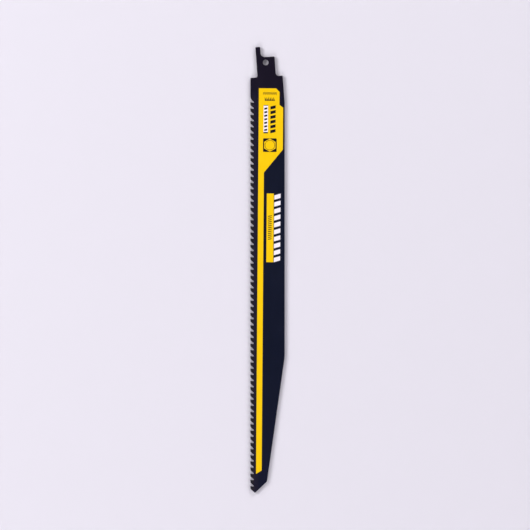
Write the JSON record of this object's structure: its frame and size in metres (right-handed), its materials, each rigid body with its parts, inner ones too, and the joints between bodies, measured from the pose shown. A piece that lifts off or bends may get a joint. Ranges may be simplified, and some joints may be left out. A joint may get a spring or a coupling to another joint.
{
  "type": "reciprocating saw blade",
  "caption": "Long, stiff reciprocating saw blade with welded carbide teeth, a half-inch universal shank, a tapered back and a plunge nose, for demolition cuts.",
  "frame": {"origin": "under the middle of the blade's box, on the plane that the tooth points rest on", "axes": "+Y along the blade from the nose to the shank, +X from the tooth edge to the back edge, +Z out of the printed face"},
  "size_m": [0.0234, 0.3048, 0.0019],
  "materials": {
    "coated_steel": "semi-matte black coating on spring steel",
    "carbide": "ground tungsten carbide, dark grey",
    "yellow_ink": "satin screen-printed ink",
    "white_ink": "satin screen-printed ink",
    "black_ink": "satin screen-printed ink"
  },
  "bodies": {
    "root": {"blade": "coated_steel"}
  },
  "joints": []
}
